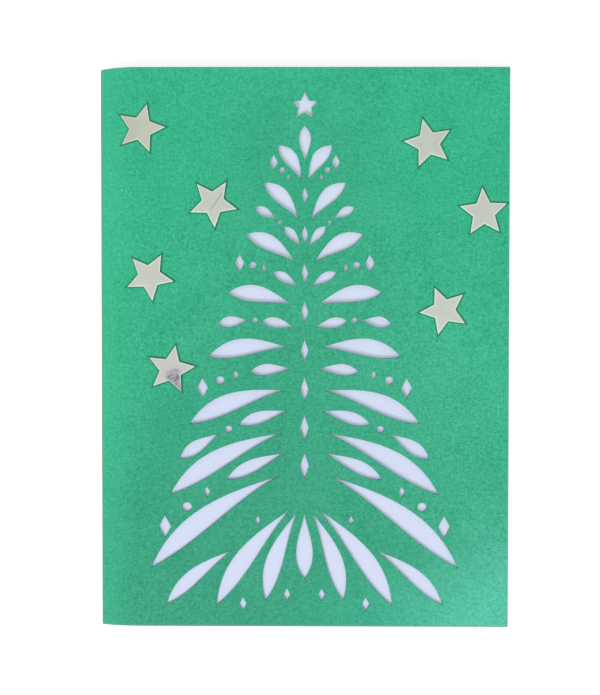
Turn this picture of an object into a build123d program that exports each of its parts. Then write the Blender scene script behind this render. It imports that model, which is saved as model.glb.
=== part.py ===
"""A greeting card with a pierced fir tree and foil stars, lying closed on its back leaf.

The card is one sheet of green card folded once. Its front leaf has sprung open a little, more at the
top than at the bottom, and is pierced with a tree of leaves, dots and diamonds. A folded sheet of
white paper inside shows through the piercing. Seven foil stars are stuck on the front.

Millimetres. +X runs from the fold to the open edge, +Y to the top of the card, +Z up. The origin is
on the table, under the middle of the card.
"""

from build123d import *
from math import atan, atan2, cos, degrees, hypot, pi, radians, sin
import os

# Green card
card_width = 130.0
card_height = 177.0
card_stock = 0.35
card_fold_radius = 0.8

# Front leaf: height of its underside above the table, where it runs level after the curl at the fold
front_height_top = 5.8
front_height_bottom = 3.6
curl_run = 12.0

# White insert: a folded sheet inside the card
insert_stock = 0.16
insert_fold_radius = 0.4
insert_margin = 2.5
insert_gap_top = 1.2
insert_gap_bottom = 0.45
fold_clearance = 0.3

# Foil stars stuck on the front leaf
foil_thickness = 0.35
foil_star_radius = 7.8
foil_star_waist = 3.6
# From the fold, down from the top edge, and the turn of one point from upright, anticlockwise
foil_stars_by_fold = [(13.4, 19.2, -15), (36.1, 42.5, -32), (16.0, 65.6, -29), (22.7, 94.9, -11)]
# From the open edge, down from the top edge, and the turn
foil_stars_by_edge = [(26.3, 23.8, 13.5), (8.8, 45.4, 3.5), (21.1, 76.2, 22.5)]

# Pierced tree: its height, its foot above the card's lower edge and half its width at the foot
tree_height = 163.0
tree_foot = 6.5
tree_half_width = 52.0
tree_flare = 0.80

# Boughs: long leaves in pairs, from the first at the top to the last at the foot.
# Where each one starts on the stem and where its tip lies are shares of the tree's height.
bough_pairs = 8
root_share_first = 0.800
root_share_last = 0.275
tip_share_first = 0.897
tip_share_last = 0.075
tip_share_power = 1.25
bough_width_first = 4.6
bough_width_last = 6.8
bough_turn_first = 22.0
bough_turn_last = 15.0
stem_room_first = 2.4
stem_room_last = 7.0

# Between one bough and the next: an inner leaf, then by turns two diamonds and a dot, or a dot and
# a short leaf. Places are shares of the bough's length, sizes run from the first gap to the last.
inner_leaf_shares = (0.12, 0.50)
inner_leaf_width_first = 2.6
inner_leaf_width_last = 4.4
outer_leaf_shares = (0.66, 1.0)
outer_leaf_width_first = 2.8
outer_leaf_width_last = 4.6
middle_dot_share = 0.58
middle_dot_radius_first = 0.6
middle_dot_radius_last = 1.2
outer_dot_share = 0.79
outer_dot_radius_first = 0.9
outer_dot_radius_last = 1.5
outer_diamond_share = 0.965
outer_diamond_length_first = 4.8
outer_diamond_length_last = 7.2
middle_diamond_share = 0.64
middle_diamond_length_first = 2.2
middle_diamond_length_last = 3.6
diamond_slimness = 0.55

# Star at the top of the tree, the leaf under it, and the column of diamonds down the middle
top_star_radius = 4.6
top_star_waist = 2.1
top_leaf_length = 11.0
top_leaf_width = 4.0
stem_diamond_length_first = 5.6
stem_diamond_length_last = 8.4
stem_diamond_slimness = 0.34
stem_web = 1.6

# Spray at the foot, on one side: leaves by angle from upright, near and far end, and width;
# diamonds by angle, distance and length
spray_root_share = 0.225
spray_turn = 12.0
spray_leaves = [(129.5, 29.5, 57.0, 4.8), (142.5, 7.0, 46.0, 6.2), (160.5, 7.0, 37.0, 5.6)]
spray_diamonds = [(122.0, 17.5, 3.0), (151.5, 41.0, 4.4), (170.5, 33.5, 4.0)]
spray_middle_leaf = (180.0, 7.0, 28.0, 5.6)


def between(first, last, share):
    """The value at a share of the way from first to last."""
    return first + (last - first) * share


# Folded sheets


class Fold:
    """A folded sheet seen across at one place: the fold, the curl over it and the level front leaf.

    The back leaf lies at floor and reaches as far as reach. front_height is the height of the front
    leaf's underside.
    """

    def __init__(self, x, run, radius, stock, floor, front_height, reach):
        self.x, self.z, self.reach = x, floor + stock + radius, reach
        self.radius, self.stock, self.floor = radius, stock, floor
        rise = front_height - self.z - radius
        self.slope = 2 * atan(rise / run)
        self.curl = radius + run / sin(self.slope)
        self.curl_x = x + run
        self.curl_z = front_height - self.curl

    def front_end(self):
        """Where the front leaf ends: a curl takes up more paper than a level leaf does."""
        return self.reach - (self.curl - self.radius) * (self.slope - sin(self.slope))

    def fold_point(self, turn, out):
        """A point of the fold, turned from upright towards the left, out from the inner side."""
        reach = self.radius + out
        return (self.x - reach * sin(turn), self.z + reach * cos(turn))

    def curl_point(self, turn, out):
        reach = self.curl + out
        return (self.curl_x - reach * sin(turn), self.curl_z + reach * cos(turn))

    def end_point(self, out):
        return (self.reach, self.curl_z + self.curl + out)

    def front_edges(self, out):
        """The curl and the level leaf, at one distance out from the underside."""
        return [
            ThreePointArc(
                self.fold_point(self.slope, out),
                self.curl_point(self.slope / 2, out),
                self.curl_point(0, out),
            ),
            Line(self.curl_point(0, out), self.end_point(out)),
        ]

    def fold_edge(self, out):
        halfway = (pi + self.slope) / 2
        ends = self.fold_point(pi, out), self.fold_point(self.slope, out)
        return ThreePointArc(ends[0], self.fold_point(halfway, out), ends[1])

    def sheet_outline(self):
        """The whole sheet: back leaf, fold, curl and front leaf."""
        corners = [(self.reach, self.floor), (self.reach, self.floor + self.stock)]
        edges = [Line(corners[0], self.fold_point(pi, self.stock)), self.fold_edge(self.stock)]
        edges += self.front_edges(self.stock)
        edges += [Line(self.end_point(self.stock), self.end_point(0))]
        edges += self.front_edges(0)
        edges += [self.fold_edge(0), Line(self.fold_point(pi, 0), corners[1]), Line(*corners)]
        return edges

    def layer_outline(self, low, high):
        """A layer over the front leaf, between two distances out from its underside."""
        sides = [
            Line(self.fold_point(self.slope, low), self.fold_point(self.slope, high)),
            Line(self.end_point(low), self.end_point(high)),
        ]
        return self.front_edges(low) + self.front_edges(high) + sides


def across(edges, y):
    """The face that a closed run of edges, drawn in X and Z, encloses at one Y."""
    plane = Plane(origin=(0, y, 0), x_dir=(1, 0, 0), z_dir=(0, -1, 0))
    return plane * make_face(edges)


def folded_sheet(bottom, top, height):
    """A sheet lofted from its folds at the bottom and the top, with the front leaf cut to length."""
    half = height / 2
    sheet = loft([across(bottom.sheet_outline(), -half), across(top.sheet_outline(), half)], ruled=True)
    cut_line = [(bottom.front_end(), -half), (top.front_end(), half)]
    beyond = bottom.reach + 1
    over = Polyline((beyond, half), *reversed(cut_line), (beyond, -half), close=True)
    start = bottom.floor + bottom.stock + bottom.radius
    return sheet - extrude(Pos(0, 0, start) * make_face(over), top.curl_z + top.curl, dir=(0, 0, 1))


def card_fold(front_height):
    fold_x = -card_width / 2 + card_stock + card_fold_radius
    reach = card_width / 2
    return Fold(fold_x, curl_run, card_fold_radius, card_stock, 0, front_height, reach)


def card_sheet():
    """The green card before it is pierced."""
    return folded_sheet(card_fold(front_height_bottom), card_fold(front_height_top), card_height)


def insert_fold(side, gap):
    """The white sheet's fold at one end: side is -1 at the bottom and 1 at the top."""
    nest = insert_fold_radius + insert_stock - card_fold_radius + fold_clearance
    fold_x = -card_width / 2 + card_stock + card_fold_radius + nest
    share = 0.5 + side * (0.5 - insert_margin / card_height)
    under = between(front_height_bottom, front_height_top, share) - gap - insert_stock
    run, reach = curl_run - nest, card_width / 2 - insert_margin
    return Fold(fold_x, run, insert_fold_radius, insert_stock, card_stock, under, reach)


def insert_sheet():
    """The white sheet, folded inside the card and lying on its back leaf."""
    folds = insert_fold(-1, insert_gap_bottom), insert_fold(1, insert_gap_top)
    return folded_sheet(*folds, card_height - 2 * insert_margin)


# Shapes cut with a blade or a laser, drawn flat


def star(centre, radius, waist, points, turn):
    """A star with one point turned anticlockwise from upright by turn degrees."""
    corners = []
    for corner in range(2 * points):
        reach = radius if corner % 2 == 0 else waist
        around = radians(90 + turn + corner * 180 / points)
        corners.append((centre[0] + reach * cos(around), centre[1] + reach * sin(around)))
    return make_face(Polyline(*corners, close=True))


def dot(centre, radius):
    return Pos(*centre) * Circle(radius)


def diamond(centre, length, slimness):
    """An upright diamond. slimness is its width as a share of its length."""
    x, y = centre
    half_length, half_width = length / 2, length * slimness / 2
    return make_face(
        Polyline(
            (x, y + half_length),
            (x + half_width, y),
            (x, y - half_length),
            (x - half_width, y),
            close=True,
        )
    )


def leaf(tail, tip, width, turn):
    """A pointed leaf, slim at the tail and widest past its middle.

    It sets out turn degrees to the left of the straight line and arrives as much to the right.
    """
    tail, tip = Vector(*tail), Vector(*tip)
    length = (tip - tail).length
    straight = (tip - tail).normalized()
    setting_out = straight.rotate(Axis.Z, turn) * length * 0.35
    arriving = straight.rotate(Axis.Z, -turn) * length * 0.35
    left = straight.rotate(Axis.Z, 90) * width
    edges = []
    for side in (1, -1):
        pulls = tail + setting_out + left * side * 0.25, tip - arriving + left * side * 0.95
        edges.append(Bezier(tail, *pulls, tip))
    return make_face(edges)


# The pierced tree


def tree_y(share):
    """The height on the card at a share of the tree's height."""
    return -card_height / 2 + tree_foot + tree_height * share


def tree_half(share):
    """Half the tree's width there."""
    return tree_half_width * (1 - share) ** tree_flare


def along(root, angle, distance):
    """A point at a distance from a root on the stem, at an angle from upright."""
    return (distance * sin(radians(angle)), root + distance * cos(radians(angle)))


class Bough:
    """The bowed line of one bough, at a share of the way from the first bough to the last."""

    def __init__(self, share):
        self.root = tree_y(between(root_share_first, root_share_last, share))
        tip_share = between(tip_share_first, tip_share_last, share**tip_share_power)
        self.width = between(bough_width_first, bough_width_last, share)
        self.turn = between(bough_turn_first, bough_turn_last, share)
        tip_x, rise = tree_half(tip_share), tree_y(tip_share) - self.root
        self.angle = degrees(atan2(tip_x, rise))
        self.length = hypot(tip_x, rise)
        room = between(stem_room_first, stem_room_last, share)
        self.start = room / max(sin(radians(self.angle)), 0.5) / self.length

    def point(self, share):
        x, y = along(self.root, self.angle, self.length * share)
        bow = self.length * sin(radians(self.turn)) * share * (1 - share)
        return (x - bow * cos(radians(self.angle)), y + bow * sin(radians(self.angle)))

    def leaf(self, tail, tip, width):
        """A leaf on this line between two shares of its length."""
        return leaf(self.point(tail), self.point(tip), width, self.turn * (tip - tail))


def boughs():
    """The long leaves, one for each bough of the right side."""
    shapes = []
    for place in range(bough_pairs):
        bough = Bough(place / (bough_pairs - 1))
        shapes.append(bough.leaf(bough.start, 1, bough.width))
    return shapes


def filling():
    """What lies between each bough and the next, from the stem outwards."""
    shapes = []
    gaps = bough_pairs - 1
    for gap in range(gaps):
        line = Bough((gap + 0.5) / gaps)
        share = gap / (gaps - 1)
        if gap > 0:
            width = between(inner_leaf_width_first, inner_leaf_width_last, share)
            shapes.append(line.leaf(*inner_leaf_shares, width))
        if gap % 2 == 0:
            length = between(middle_diamond_length_first, middle_diamond_length_last, share)
            shapes.append(diamond(line.point(middle_diamond_share), length, diamond_slimness))
            radius = between(outer_dot_radius_first, outer_dot_radius_last, share)
            shapes.append(dot(line.point(outer_dot_share), radius))
            length = between(outer_diamond_length_first, outer_diamond_length_last, share)
            shapes.append(diamond(line.point(outer_diamond_share), length, diamond_slimness))
        else:
            radius = between(middle_dot_radius_first, middle_dot_radius_last, share)
            shapes.append(dot(line.point(middle_dot_share), radius))
            width = between(outer_leaf_width_first, outer_leaf_width_last, share)
            shapes.append(line.leaf(*outer_leaf_shares, width))
    return shapes


def stem():
    """The star and leaf at the top, and a column of upright diamonds down the middle."""
    shapes = [star((0, tree_y(1) - top_star_radius), top_star_radius, top_star_waist, 5, 0)]
    top = tree_y(1) - 2 * top_star_radius - stem_web
    shapes.append(leaf((0, top - top_leaf_length), (0, top), top_leaf_width, 0))
    for place in range(bough_pairs):
        share = place / (bough_pairs - 1)
        length = between(stem_diamond_length_first, stem_diamond_length_last, share)
        shapes.append(diamond((0, Bough(share).root), length, stem_diamond_slimness))
    return shapes


def spray_leaf(angle, near, far, width, turn):
    root = tree_y(spray_root_share)
    return leaf(along(root, angle, near), along(root, angle, far), width, turn)


def spray():
    """What fans out at the foot on the right side."""
    shapes = [spray_leaf(*sizes, spray_turn) for sizes in spray_leaves]
    for angle, distance, length in spray_diamonds:
        middle = along(tree_y(spray_root_share), angle, distance)
        shapes.append(diamond(middle, length, diamond_slimness))
    return shapes


def tree_openings():
    """Every opening of the tree, drawn flat."""
    right = boughs() + filling() + spray()
    left = [mirror(shape, about=Plane.YZ) for shape in right]
    return right + left + stem() + [spray_leaf(*spray_middle_leaf, 0)]


def pierced(sheet):
    """The sheet with the tree cut through its front leaf alone."""
    low = (card_stock + front_height_bottom) / 2
    high = front_height_top + card_stock + 1
    openings = [Pos(0, 0, low) * shape for shape in tree_openings()]
    tools = [extrude(shape, high - low, dir=(0, 0, 1)) for shape in openings]
    return sheet - tools


# Foil stars


def foil_layer():
    """Foil all over the front leaf, from which the stars are cut."""
    ends = [(-card_height / 2, front_height_bottom), (card_height / 2, front_height_top)]
    low, high = card_stock, card_stock + foil_thickness
    outlines = [across(card_fold(height).layer_outline(low, high), y) for y, height in ends]
    return loft(outlines, ruled=True)


def foil_star_places():
    top, fold, edge = card_height / 2, -card_width / 2, card_width / 2
    by_fold = [(fold + x, top - y, turn) for x, y, turn in foil_stars_by_fold]
    by_edge = [(edge - x, top - y, turn) for x, y, turn in foil_stars_by_edge]
    return by_fold + by_edge


def foil_stars():
    layer = foil_layer()
    high = front_height_top + card_stock + foil_thickness + 1
    for x, y, turn in foil_star_places():
        outline = star((x, y), foil_star_radius, foil_star_waist, 5, turn)
        yield layer & extrude(outline, high, dir=(0, 0, 1))


def main():
    os.makedirs("parts", exist_ok=True)
    export_step(pierced(card_sheet()), "parts/card.step")
    export_step(insert_sheet(), "parts/insert_sheet.step")
    for number, foil_star in enumerate(foil_stars(), 1):
        export_step(foil_star, f"parts/foil_star_{number}.step")


if __name__ == "__main__":
    main()
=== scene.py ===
"""Looks for the greeting card: green card stock, white insert paper and silver foil stars."""

import bpy
from math import cos, radians, sin
from mathutils import Matrix, Vector

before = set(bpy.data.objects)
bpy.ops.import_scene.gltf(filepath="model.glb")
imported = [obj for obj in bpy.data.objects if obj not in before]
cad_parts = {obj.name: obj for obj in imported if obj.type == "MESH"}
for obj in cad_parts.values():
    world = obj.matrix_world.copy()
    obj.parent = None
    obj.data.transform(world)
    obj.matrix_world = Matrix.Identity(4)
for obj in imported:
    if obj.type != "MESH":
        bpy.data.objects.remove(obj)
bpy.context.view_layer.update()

MM = 0.001

# Sizes of the foil stars and their places, the same as in the part's source:
# middle of the star in millimetres, and the turn of one point from upright, anticlockwise
STAR_RADIUS = 7.8
STAR_WAIST = 3.6
STARS = {
    "foil_star_1": (-51.6, 69.3, -15),
    "foil_star_2": (-28.9, 46.0, -32),
    "foil_star_3": (-49.0, 22.9, -29),
    "foil_star_4": (-42.3, -6.4, -11),
    "foil_star_5": (38.7, 64.7, 13.5),
    "foil_star_6": (56.2, 43.1, 3.5),
    "foil_star_7": (43.9, 12.3, 22.5),
}

# A star is ten mirrored copies of the wedge between a point and the notch beside it
WEDGE = radians(36)


def srgb(red, green, blue):
    """A colour given in 0 to 255, as Blender's linear RGBA."""
    shares = [value / 255 for value in (red, green, blue)]
    return [v / 12.92 if v <= 0.04045 else ((v + 0.055) / 1.055) ** 2.4 for v in shares] + [1]


# Colours of the card: the pairs run from the dark to the light of the mottled pulp
GREEN = (srgb(8, 149, 107), srgb(70, 193, 151))
# Painted shade down the middle and towards the foot
SHADED_GREEN = (srgb(42, 120, 96), srgb(72, 153, 127))
# Painted light near the lower corner and the open edge
PAINTED_LIGHT_GREEN = (srgb(76, 200, 172), srgb(130, 238, 212))
# Painted shade in a patch low on the left
SHADE_PATCH_GREEN = srgb(60, 137, 125)
COOL_GREEN = srgb(20, 184, 138)
# Painted light along the fold and the bottom
FOLD_LIGHT_GREEN = srgb(72, 206, 156)
BOTTOM_LIGHT_GREEN = srgb(68, 200, 170)
# Painted shade along the outermost rim
RIM_SHADE_GREEN = srgb(118, 158, 138)
PALE_FIBRE = srgb(150, 228, 200)
DARK_FLECK = srgb(26, 120, 86)
# Painted shadow round the foil stars
CONTACT_SHADOW = srgb(18, 84, 60)
RAW_EDGE = srgb(104, 200, 168)

# Places on the card in metres from its middle, x across and y up.
# Each pair says where a change of colour starts and where it ends.
MIDDLE_X = (0.008, 0.055)
MIDDLE_Y = (0.05, 0.10)
MIDDLE_WIDENING = 10.0
FOOT_Y = (-0.085, -0.01)
SHADE_PATCH_PLACE = (-0.022, -0.040)
SHADE_PATCH_REACH = (0.015, 0.060)
COOL_Y = (0.0, 0.060)
FOLD_X = (-0.066, -0.052)
CORNER_PLACE = (0.078, -0.104)
CORNER_REACH = (0.012, 0.067)
EDGE_X = (0.0, 0.066)
EDGE_Y = (-0.01, 0.05)
BOTTOM_X = (-0.02, 0.02)
BOTTOM_Y = (-0.084, -0.066)
RIM_X = (0.0639, 0.0647)
RIM_Y = (0.0876, 0.0884)

# Painted light: the card is a little lighter towards its top, by this share of the mottle in each metre
LIGHTER_UPWARDS = 0.8

# The painted shadow round a star, in millimetres: its shift to the right and up, and its soft outer edge
CONTACT_SHIFT = 0.08
CONTACT_WIDTH = (-0.7, -0.18)

# A face is a cut edge where its normal leans this little out of the leaf
CUT_FACE_LEAN = 0.3

# Colours of the insert, and where its paler upper part, which is painted light, starts and ends
PAPER = (srgb(201, 208, 233), srgb(213, 221, 243))
UPPER_PAPER_LIGHT = srgb(219, 227, 248)
UPPER_PAPER_LIGHT_Y = (-0.03, 0.09)

# Colours of the foil
FOIL = (srgb(161, 167, 157), srgb(182, 188, 179))
ROSY_FOIL = srgb(176, 167, 164)
# Painted highlight along the rim of a star
FOIL_RIM_HIGHLIGHT = srgb(183, 201, 186)
WARM_FOIL = srgb(178, 176, 136)
COOL_FOIL = srgb(160, 152, 160)
# Painted shade of a crease on one star
CREASE_SHADE = srgb(121, 112, 100)
# Painted dark reflection on one star
DARK_REFLECTION = (srgb(86, 86, 100), srgb(152, 150, 163))

# The rim of a star, in millimetres inwards from its outline: the painted highlight line and the slope
RIM_LINE = (0.2, 0.6)
RIM_SLOPE = (0.0, 0.35)

# The painted shade of a crease on one star: its lean, how far it lies beside the middle, its half width
# and its two ends
CREASE_LEAN = radians(34)
CREASE_BESIDE = 0.65
CREASE_WIDTH = (0.05, 0.28)
CREASE_START = (-3.0, -1.5)
CREASE_END = (4.0, 4.8)

# The painted dark reflection on one star: the direction it lies in, where it starts and how far it
# reaches aside
REFLECTION_TOWARDS = (0.36, -0.93)
REFLECTION_ASIDE = (0.93, 0.36)
REFLECTION_START = (-0.8, 1.4)
REFLECTION_WIDTH = (1.4, 3.2)

# The floor: its size, how far it lies under the card, its colours and how bright it looks by itself
FLOOR_SIZE = 3.0
FLOOR_DROP = 0.00005
FLOOR_GREY = (srgb(238, 238, 238), srgb(242, 242, 242))
FLOOR_GLOW = 0.40

WHITE = (1, 1, 1, 1)
ROOM_STRENGTH = 0.42

# The camera, fitted to the corners of the card in the photograph
SENSOR_HEIGHT = 24.0
FOCAL_LENGTH_PIXELS = 1028.25
FRAME_HEIGHT_PIXELS = 695
CLIP_START = 0.01
CAMERA_PLACE = (0.000798, 0.008216, 0.330)
CAMERA_TURNS = {"X": -0.0235, "Y": 0.00694, "Z": 0.00139}


class Nodes:
    """Builds the nodes of one material. Every call gives back output sockets."""

    def __init__(self, name):
        self.material = bpy.data.materials.new(name)
        self.material.use_nodes = True
        self.tree = self.material.node_tree
        self.tree.nodes.clear()
        self.object_place = self.add("ShaderNodeTexCoord")["Object"]

    def add(self, kind, inputs=None, **settings):
        node = self.tree.nodes.new(kind)
        for name, value in settings.items():
            setattr(node, name, value)
        for name, value in (inputs or {}).items():
            if isinstance(value, bpy.types.NodeSocket):
                self.tree.links.new(value, node.inputs[name])
            else:
                node.inputs[name].default_value = value
        return node.outputs

    def math(self, operation, *values, clamp=False):
        inputs = dict(enumerate(values))
        return self.add("ShaderNodeMath", inputs, operation=operation, use_clamp=clamp)[0]

    def product(self, first, *others):
        for other in others:
            first = self.math("MULTIPLY", first, other)
        return first

    def weighted(self, first, first_weight, second, second_weight):
        """The sum of two values, each times its weight."""
        return self.math("ADD", self.product(first, first_weight), self.product(second, second_weight))

    def xyz(self, vector):
        """The three numbers of a vector."""
        return self.add("ShaderNodeSeparateXYZ", {0: vector})

    def noise(self, size, detail, roughness=0.5, stretch=(1, 1, 1)):
        """Noise with features about size millimetres across, around 0.5."""
        scale = [1 / (size * MM * s) for s in stretch]
        mapped = self.add("ShaderNodeMapping", {"Vector": self.object_place, "Scale": scale})[0]
        inputs = {"Vector": mapped, "Scale": 1.0, "Detail": detail, "Roughness": roughness}
        return self.add("ShaderNodeTexNoise", inputs)["Fac"]

    def around_zero(self, noise):
        return self.math("SUBTRACT", noise, 0.5)

    def ramp(self, value, low, high):
        """0 where value is under low, 1 where it is over high, smooth between."""
        inputs = {"Value": value, "From Min": low, "From Max": high}
        return self.add("ShaderNodeMapRange", inputs, interpolation_type="SMOOTHSTEP")[0]

    def fade(self, value, low, high):
        """1 where value is under low, 0 where it is over high, smooth between."""
        return self.rest_of(self.ramp(value, low, high))

    def rest_of(self, share):
        """What is missing from a share to make one whole."""
        return self.math("SUBTRACT", 1.0, share)

    def mix(self, factor, first, second):
        inputs = {0: factor, 6: first, 7: second}
        return self.add("ShaderNodeMix", inputs, data_type="RGBA")[2]

    def tint(self, colour, other, where, amount):
        """The colour, with up to an amount of another one where a value says."""
        return self.mix(self.product(where, amount), colour, other)

    def bump(self, height, distance):
        inputs = {"Height": height, "Distance": distance * MM, "Strength": 1.0}
        return self.add("ShaderNodeBump", inputs)[0]

    def surface(self, **inputs):
        names = {name.replace("_", " "): value for name, value in inputs.items()}
        shader = self.add("ShaderNodeBsdfPrincipled", names)[0]
        self.add("ShaderNodeOutputMaterial", {"Surface": shader})
        return self.material


# The outline of a foil star, as the card and the foil both need it


def from_middle(n, x, y):
    """Millimetres across and up from the middle of a star."""
    place = n.xyz(n.object_place)
    across = n.math("SUBTRACT", n.math("DIVIDE", place[0], MM), x)
    up = n.math("SUBTRACT", n.math("DIVIDE", place[1], MM), y)
    return across, up


def star_inset(n, across, up, turn):
    """Millimetres inwards from the outline of a star, and less than 0 outside it."""
    reach = n.math("SQRT", n.math("ADD", n.product(across, across), n.product(up, up)))
    around = n.math("SUBTRACT", n.math("ARCTAN2", up, across), radians(90 + turn))
    folded = n.math("PINGPONG", around, WEDGE)
    x = n.product(reach, n.math("COSINE", folded))
    y = n.product(reach, n.math("SINE", folded))
    tip = Vector((STAR_RADIUS, 0))
    notch = Vector((STAR_WAIST * cos(WEDGE), STAR_WAIST * sin(WEDGE)))
    outward = Vector((notch.y - tip.y, tip.x - notch.x)).normalized()
    beyond = n.math("SUBTRACT", n.weighted(x, outward.x, y, outward.y), tip.dot(outward))
    return n.product(beyond, -1.0)


# Green card stock


def distance_from(n, x, y):
    """Metres from a place on the card, seen from above."""
    inputs = {0: n.object_place, 1: (x, y, 0)}
    offset = n.add("ShaderNodeVectorMath", inputs, operation="SUBTRACT")[0]
    flat = n.add("ShaderNodeVectorMath", {0: offset, 1: (1, 1, 0)}, operation="MULTIPLY")[0]
    return n.add("ShaderNodeVectorMath", {0: flat}, operation="LENGTH")["Value"]


def specks(n, density, channel, fewest_from, size):
    """1 in scattered dots, which only the cells with a random value over fewest_from have."""
    cells = n.add("ShaderNodeTexVoronoi", {"Vector": n.object_place, "Scale": density})
    random_value = n.add("ShaderNodeSeparateColor", {"Color": cells["Color"]})[channel]
    reach = n.product(n.ramp(random_value, fewest_from, 1.0), size)
    return n.math("LESS_THAN", cells["Distance"], reach)


def star_shadow(n):
    """Mask of the painted shadow: 1 close outside any foil star, 0 further away."""
    nearest = None
    for x, y, turn in STARS.values():
        across, up = from_middle(n, x + CONTACT_SHIFT, y + CONTACT_SHIFT)
        inset = star_inset(n, across, up, turn)
        nearest = n.math("MAXIMUM", nearest, inset) if nearest else inset
    return n.ramp(nearest, *CONTACT_WIDTH)


def card_stock():
    n = Nodes("green_card_stock")
    cloudy = n.noise(size=14, detail=3)
    mottle = n.noise(size=0.95, detail=3, roughness=0.6)
    grain = n.noise(size=0.35, detail=2)
    along = n.noise(size=1.0, detail=3, stretch=(0.35, 4.0, 1))
    across = n.noise(size=1.0, detail=3, stretch=(4.0, 0.35, 1))
    shade = n.math("MULTIPLY_ADD", n.around_zero(cloudy), 0.5, 0.5)
    for layer, contrast in ((mottle, 1.5), (grain, 1.4), (along, 0.5), (across, 0.5)):
        shade = n.math("MULTIPLY_ADD", n.around_zero(layer), contrast, shade)
    place = n.xyz(n.object_place)
    # Painted light: lighter towards the top
    shade = n.math("MULTIPLY_ADD", place[1], LIGHTER_UPWARDS, shade, clamp=True)
    colour = n.mix(shade, *GREEN)

    # Painted shade: the green is a little darker and duller down the middle, most widely towards the
    # foot of the card
    off_middle = n.math("ABSOLUTE", place[0])
    spread = n.product(off_middle, n.math("MULTIPLY_ADD", place[1], MIDDLE_WIDENING, 1.0))
    middle = n.product(n.fade(spread, *MIDDLE_X), n.fade(place[1], *MIDDLE_Y))
    foot = n.fade(place[1], *FOOT_Y)
    colour = n.mix(n.weighted(middle, 0.28, foot, 0.16), colour, n.mix(shade, *SHADED_GREEN))
    # Painted shade: darker in a patch low on the left of the middle
    shade_patch = n.fade(distance_from(n, *SHADE_PATCH_PLACE), *SHADE_PATCH_REACH)
    colour = n.tint(colour, SHADE_PATCH_GREEN, where=shade_patch, amount=0.12)

    # Near the top it has less red
    colour = n.tint(colour, COOL_GREEN, where=n.ramp(place[1], *COOL_Y), amount=0.12)

    # Painted light: it is paler along the fold, near the open edge and its lower corner, and along the
    # bottom
    by_fold = n.fade(place[0], *FOLD_X)
    colour = n.tint(colour, FOLD_LIGHT_GREEN, where=by_fold, amount=0.32)
    by_corner = n.fade(distance_from(n, *CORNER_PLACE), *CORNER_REACH)
    by_edge = n.product(n.ramp(place[0], *EDGE_X), n.fade(place[1], *EDGE_Y))
    colour = n.mix(n.weighted(by_corner, 0.53, by_edge, 0.09), colour, n.mix(shade, *PAINTED_LIGHT_GREEN))
    by_bottom = n.product(n.fade(place[1], *BOTTOM_Y), n.ramp(place[0], *BOTTOM_X), n.rest_of(by_corner))
    colour = n.tint(colour, BOTTOM_LIGHT_GREEN, where=by_bottom, amount=0.17)

    # Painted shade: the outermost rim is a little darker and greyer
    by_side = n.ramp(off_middle, *RIM_X)
    by_end = n.ramp(n.math("ABSOLUTE", place[1]), *RIM_Y)
    colour = n.tint(colour, RIM_SHADE_GREEN, where=n.math("MAXIMUM", by_side, by_end), amount=0.5)

    # Stray pale fibres and dark flecks in the pulp
    fibres = specks(n, density=260.0, channel=0, fewest_from=0.86, size=0.09)
    colour = n.tint(colour, PALE_FIBRE, where=fibres, amount=0.4)
    flecks = specks(n, density=330.0, channel=1, fewest_from=0.8, size=0.13)
    colour = n.tint(colour, DARK_FLECK, where=flecks, amount=0.4)

    # Painted shadow: a dark line round each foil star, where its edge stands on the card
    colour = n.tint(colour, CONTACT_SHADOW, where=star_shadow(n), amount=0.75)

    # The raw edge that the cuts and the trimmed sides show is paler
    normal = n.add("ShaderNodeNewGeometry")["True Normal"]
    lean = n.math("ABSOLUTE", n.xyz(normal)[2])
    colour = n.mix(n.math("LESS_THAN", lean, CUT_FACE_LEAN), colour, RAW_EDGE)

    relief = n.bump(n.weighted(mottle, 0.6, grain, 0.4), distance=0.05)
    return n.surface(Base_Color=colour, Roughness=0.75, Normal=relief, Specular_IOR_Level=0.25)


# White insert paper


def insert_paper():
    n = Nodes("white_insert_paper")
    mottle = n.noise(size=1.2, detail=3)
    grain = n.noise(size=0.3, detail=2)
    shade = n.weighted(mottle, 0.6, grain, 0.4)
    # Painted light: the insert is paler towards its top, offsetting the deeper shade under the cover
    # there
    upper = n.ramp(n.xyz(n.object_place)[1], *UPPER_PAPER_LIGHT_Y)
    colour = n.mix(upper, n.mix(shade, *PAPER), UPPER_PAPER_LIGHT)
    relief = n.bump(shade, distance=0.02)
    return n.surface(Base_Color=colour, Roughness=0.6, Normal=relief, Specular_IOR_Level=0.4)


# Foil stars


def with_crease_shade(n, colour, across, up):
    """The foil with the painted shade of a thin crease that runs up one side and ends short of the rim.
    """
    beside = n.weighted(across, cos(CREASE_LEAN), up, -sin(CREASE_LEAN))
    onward = n.weighted(across, sin(CREASE_LEAN), up, cos(CREASE_LEAN))
    off_line = n.math("ABSOLUTE", n.math("SUBTRACT", beside, CREASE_BESIDE))
    line = n.fade(off_line, *CREASE_WIDTH)
    line = n.product(line, n.ramp(onward, *CREASE_START), n.fade(onward, *CREASE_END))
    return n.tint(colour, CREASE_SHADE, where=line, amount=0.55)


def with_dark_reflection(n, colour, across, up, rim_highlight):
    """The foil, a little cooler, with a painted dark reflection towards its lower right point."""
    colour = n.mix(0.3, colour, COOL_FOIL)
    onward = n.weighted(across, REFLECTION_TOWARDS[0], up, REFLECTION_TOWARDS[1])
    aside = n.weighted(across, REFLECTION_ASIDE[0], up, REFLECTION_ASIDE[1])
    ragged = n.product(n.around_zero(n.noise(size=1.8, detail=3)), 3.0)
    start = n.ramp(n.math("ADD", onward, ragged), *REFLECTION_START)
    sides = n.fade(n.math("ABSOLUTE", aside), *REFLECTION_WIDTH)
    reflection_patch = n.product(start, n.rest_of(n.product(rim_highlight, 0.5)), sides)
    streaks = n.ramp(n.noise(size=1.0, detail=3), 0.3, 0.7)
    return n.tint(colour, n.mix(streaks, *DARK_REFLECTION), where=reflection_patch, amount=0.85)


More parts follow.
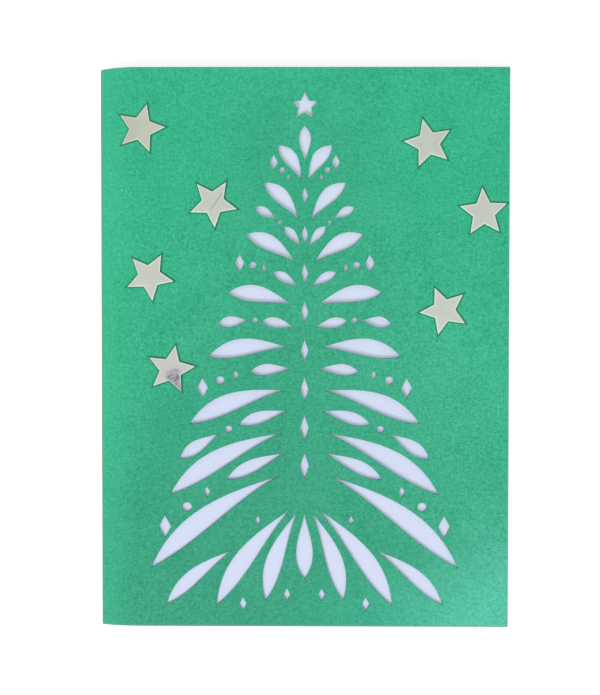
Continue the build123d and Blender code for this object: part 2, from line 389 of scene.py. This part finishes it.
def foil(name):
    n = Nodes(name + "_foil")
    x, y, turn = STARS[name]
    across, up = from_middle(n, x, y)

    # Satin foil with a fine brushed grain and a faint cloudiness, rosy in places
    cloudy = n.noise(size=5, detail=2)
    grain = n.noise(size=0.35, detail=3)
    shade = n.weighted(cloudy, 0.3, grain, 0.7)
    colour = n.mix(n.ramp(shade, 0.25, 0.75), *FOIL)
    rosy = n.ramp(n.noise(size=2.5, detail=2), 0.4, 0.65)
    colour = n.tint(colour, ROSY_FOIL, where=rosy, amount=0.35)

    # The die pressed the rim down: its slope is a bump, and the pale line along it is a painted
    # highlight
    inset = star_inset(n, across, up, turn)
    rim_highlight = n.fade(inset, *RIM_LINE)
    colour = n.tint(colour, FOIL_RIM_HIGHLIGHT, where=rim_highlight, amount=0.8)
    height = n.weighted(n.ramp(inset, *RIM_SLOPE), 0.2, grain, 0.06)

    if name == "foil_star_1":
        # This one is a little warmer than the others
        colour = n.mix(0.2, colour, WARM_FOIL)
    if name == "foil_star_2":
        colour = with_crease_shade(n, colour, across, up)
    if name == "foil_star_4":
        colour = with_dark_reflection(n, colour, across, up, rim_highlight)

    relief = n.bump(height, distance=0.12)
    return n.surface(Base_Color=colour, Metallic=0.7, Roughness=0.64, Normal=relief)


def dress(name, material):
    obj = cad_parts[name]
    obj.data.materials.clear()
    obj.data.materials.append(material)


dress("card", card_stock())
dress("insert_sheet", insert_paper())
for star_name in STARS:
    dress(star_name, foil(star_name))


# Floor, world and lamps


def floor_material():
    """A matte pale floor that looks white itself without lighting the card more."""
    n = Nodes("pale_floor")
    light_path = n.add("ShaderNodeLightPath")
    seen = n.math("ADD", light_path["Is Camera Ray"], light_path["Is Glossy Ray"])
    seen = n.math("ADD", seen, light_path["Is Transmission Ray"], clamp=True)
    colour = n.mix(n.noise(size=3, detail=2), *FLOOR_GREY)
    matte = n.add("ShaderNodeBsdfDiffuse", {"Color": colour})[0]
    glow_inputs = {"Color": WHITE, "Strength": n.product(seen, FLOOR_GLOW)}
    glow = n.add("ShaderNodeEmission", glow_inputs)[0]
    both = n.add("ShaderNodeAddShader", {0: matte, 1: glow})[0]
    n.add("ShaderNodeOutputMaterial", {"Surface": both})
    return n.material


def add_floor():
    bpy.ops.mesh.primitive_plane_add(size=FLOOR_SIZE, location=(0, 0, -FLOOR_DROP))
    floor = bpy.context.object
    floor.name = "floor"
    floor.data.materials.append(floor_material())


def add_area(name, place, size, power):
    """A round lamp that points at the middle of the card."""
    data = bpy.data.lights.new(name, "AREA")
    data.shape = "DISK"
    data.size = size
    data.energy = power
    lamp = bpy.data.objects.new(name, data)
    lamp.location = place
    lamp.visible_camera = False
    lamp.rotation_euler = (-Vector(place)).to_track_quat("-Z", "Y").to_euler()
    bpy.context.collection.objects.link(lamp)


def light_world(strength):
    """A soft room that looks white itself but lights the card with the strength given."""
    world = bpy.data.worlds.new("soft_room")
    bpy.context.scene.world = world
    world.use_nodes = True
    tree = world.node_tree
    background = tree.nodes["Background"]
    background.inputs["Color"].default_value = WHITE
    light_path = tree.nodes.new("ShaderNodeLightPath").outputs
    seen = light_path["Is Camera Ray"]
    for ray in ("Is Glossy Ray", "Is Transmission Ray"):
        either = tree.nodes.new("ShaderNodeMath")
        either.operation = "MAXIMUM"
        tree.links.new(seen, either.inputs[0])
        tree.links.new(light_path[ray], either.inputs[1])
        seen = either.outputs[0]
    level = tree.nodes.new("ShaderNodeMapRange")
    level.inputs["To Min"].default_value = strength
    tree.links.new(seen, level.inputs["Value"])
    tree.links.new(level.outputs[0], background.inputs["Strength"])


def add_camera():
    """The camera of the photograph: nearly straight above the card."""
    data = bpy.data.cameras.new("camera")
    data.sensor_fit = "VERTICAL"
    data.sensor_height = SENSOR_HEIGHT
    data.lens = SENSOR_HEIGHT * FOCAL_LENGTH_PIXELS / FRAME_HEIGHT_PIXELS
    data.clip_start = CLIP_START
    camera = bpy.data.objects.new("camera", data)
    pose = Matrix.Translation(CAMERA_PLACE)
    for axis, angle in CAMERA_TURNS.items():
        pose = pose @ Matrix.Rotation(angle, 4, axis)
    camera.matrix_world = pose
    bpy.context.collection.objects.link(camera)
    bpy.context.scene.camera = camera


add_floor()
light_world(ROOM_STRENGTH)
add_area("overhead", place=(0.1, -0.2, 1.6), size=0.5, power=8.3)
add_area("key", place=(-0.4, -1.0, 1.2), size=0.8, power=10.8)
add_camera()
bpy.context.scene.view_settings.view_transform = "Standard"
